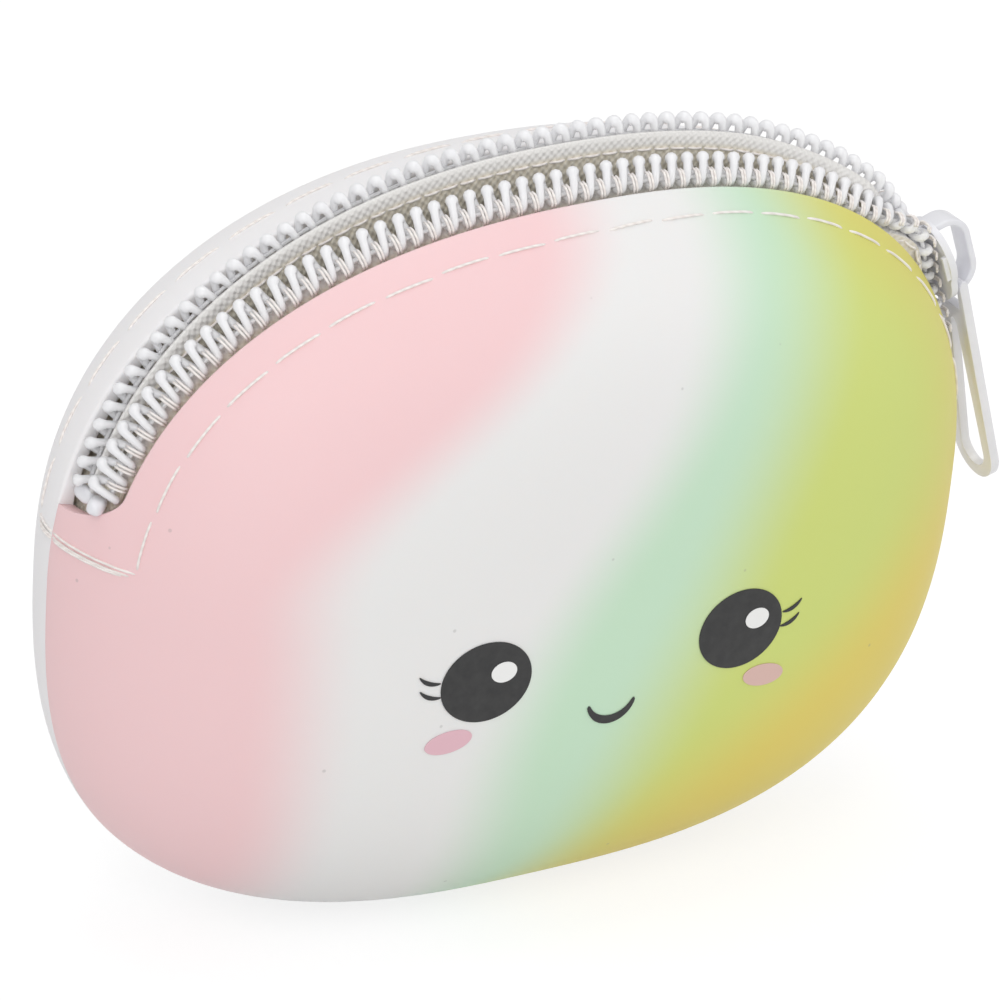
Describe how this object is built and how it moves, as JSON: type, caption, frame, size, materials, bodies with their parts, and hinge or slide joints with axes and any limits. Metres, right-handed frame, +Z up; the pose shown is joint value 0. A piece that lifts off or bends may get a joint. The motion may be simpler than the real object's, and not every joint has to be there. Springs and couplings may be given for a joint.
{
  "type": "squeeze coin purse",
  "caption": "Soft pebble-shaped silicone coin purse with a printed front, a plain rear, and a coil zip with a looped pull tab along its curved top.",
  "frame": {"origin": "middle of the flat foot under the purse, in the plane of the seam between its front and rear halves", "axes": "+X along the width to the open zip's parked slider, +Y from the printed front to the plain rear, +Z up from the foot to the zip"},
  "size_m": [0.1167, 0.0482, 0.0877],
  "materials": {
    "front_silicone": "satin silicone with pastel bands",
    "rear_silicone": "satin silicone",
    "tape": "woven",
    "nylon": "semi-gloss",
    "thread": "matt",
    "painted_metal": "gloss white paint",
    "dark_ink": "matt",
    "white_ink": "matt",
    "cheek_ink": "matt"
  },
  "bodies": {
    "shell": {"front_shell": "front_silicone", "rear_shell": "rear_silicone", "rear_tape": "tape", "rear_coil": "nylon", "rear_coil_cord": "nylon", "rear_coil_thread": "thread", "front_seam_stitches": "thread", "rear_seam_stitches": "thread", "end_tacks": "thread", "front_top_stop": "painted_metal", "rear_top_stop": "painted_metal", "bottom_stop": "nylon", "eye_prints": "dark_ink", "eye_glints": "white_ink", "lash_prints": "dark_ink", "smile_print": "dark_ink", "cheek_prints": "cheek_ink"},
    "front_lip": {"front_tape": "tape", "front_coil": "nylon", "front_coil_cord": "nylon", "front_coil_thread": "thread"},
    "slider": {"slider_body": "painted_metal", "slider_bail": "painted_metal"},
    "pull_tab": {"pull_tab": "painted_metal"}
  },
  "joints": [
    {"name": "slider_travel", "type": "hinge", "parent": "shell", "child": "slider", "pos_m": [-0.00005, -0.0022, 0.0298], "axis": [0, -1, 0], "range_deg": [0, 107], "deforming": ["rear_tape", "rear_coil", "rear_coil_cord", "rear_coil_thread"]},
    {"name": "front_lip_flex", "type": "hinge", "parent": "shell", "child": "front_lip", "pos_m": [0, 0, 0.05], "axis": [-0.9815, 0, -0.1914], "range_deg": [0, 9], "deforming": ["front_tape", "front_coil", "front_coil_cord", "front_coil_thread"]},
    {"name": "pull_swing", "type": "hinge", "parent": "slider", "child": "pull_tab", "pos_m": [0.05381, -0.0022, 0.06197], "axis": [0, -1, 0], "range_deg": [0, 112]}
  ],
  "couplings": [
    {"joint": "front_lip_flex", "follows": "slider_travel", "ratio": 0.084112}
  ]
}
